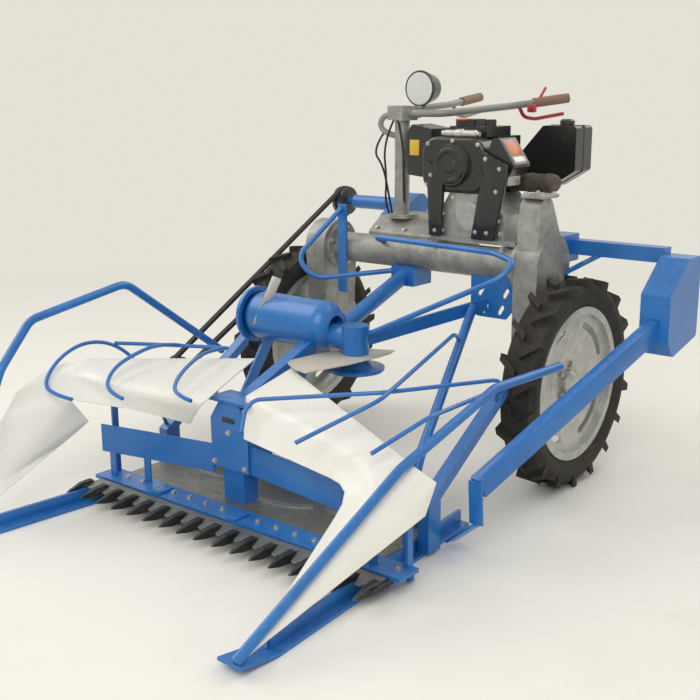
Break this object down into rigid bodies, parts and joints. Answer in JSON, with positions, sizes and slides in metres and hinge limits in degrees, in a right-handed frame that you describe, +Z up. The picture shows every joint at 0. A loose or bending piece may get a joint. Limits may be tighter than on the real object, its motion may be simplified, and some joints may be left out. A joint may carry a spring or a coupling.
{
  "type": "walking reaper binder",
  "caption": "Two-wheeled walking reaper binder: engine and gearbox on an arched axle, with a finger cutter bar, skids, crop hoods and dividers in front.",
  "frame": {"origin": "on the ground, under the middle of the machine's footprint", "axes": "+X to the machine's left, +Y to its rear (the cutter points along -Y), +Z up"},
  "size_m": [1.653, 2.363, 1.392],
  "materials": {
    "blue_paint": "gloss",
    "white_paint": "satin",
    "grey_casting": "satin",
    "silver_rim": "satin",
    "alloy": "satin",
    "grey_paint": "satin",
    "black_paint": "satin",
    "muffler_steel": "matte",
    "deck_steel": "satin",
    "dark_fingers": "satin",
    "pulley_iron": "satin",
    "tyre": "matte",
    "belt_rubber": "matte",
    "grip_rubber": "matte",
    "red_paint": "gloss",
    "lens": "gloss"
  },
  "bodies": {
    "machine": {"air_box": "black_paint", "arch_tube": "grey_casting", "binder_drum": "blue_paint", "binder_head": "blue_paint", "case_left": "grey_casting", "case_right": "grey_casting", "column": "grey_casting", "crankcase": "alloy", "cylinder": "black_paint", "deck": "deck_steel", "divider_left": "blue_paint", "divider_right": "blue_paint", "drive_belt": "belt_rubber", "drop_box": "blue_paint", "engine_base": "grey_casting", "engine_cowl": "black_paint", "engine_head": "black_paint", "finger_bar": "blue_paint", "fingers": "dark_fingers", "frame_bars": "blue_paint", "fuel_tank": "black_paint", "gearbox": "grey_casting", "grips": "grip_rubber", "guard_rods": "blue_paint", "guides_left": "blue_paint", "guides_right": "blue_paint", "handlebar": "grey_paint", "header_frame": "blue_paint", "hitch": "grey_casting", "hood_left": "white_paint", "hood_right": "white_paint", "lamp_lens": "lens", "lamp_shell": "black_paint", "leaf_plate": "white_paint", "lever_left": "red_paint", "lever_right": "grey_paint", "lift_bar": "blue_paint", "lower_pulley": "pulley_iron", "muffler": "muffler_steel", "neck": "blue_paint", "panel_left": "blue_paint", "panel_right": "blue_paint", "push_tube": "blue_paint", "side_beam": "blue_paint", "side_cowl": "black_paint", "skid_left": "blue_paint", "skid_right": "blue_paint", "slotted_plate": "blue_paint", "takeoff": "blue_paint", "upper_pulley": "pulley_iron"},
    "wheel_left": {"tyre_left": "tyre", "rim_left": "silver_rim", "hub_left": "silver_rim"},
    "wheel_right": {"tyre_right": "tyre", "rim_right": "silver_rim", "hub_right": "silver_rim"},
    "knife": {"knife": "deck_steel"}
  },
  "joints": [
    {"name": "wheel_left_spin", "type": "hinge", "parent": "machine", "child": "wheel_left", "pos_m": [0.4815, 0.43913, 0.359], "axis": [1, 0, 0], "continuous": true},
    {"name": "wheel_right_spin", "type": "hinge", "parent": "machine", "child": "wheel_right", "pos_m": [-0.6885, 0.43913, 0.359], "axis": [1, 0, 0], "continuous": true},
    {"name": "knife_stroke", "type": "slide", "parent": "machine", "child": "knife", "axis": [1, 0, 0], "range_m": [-0.0381, 0.0381]}
  ]
}
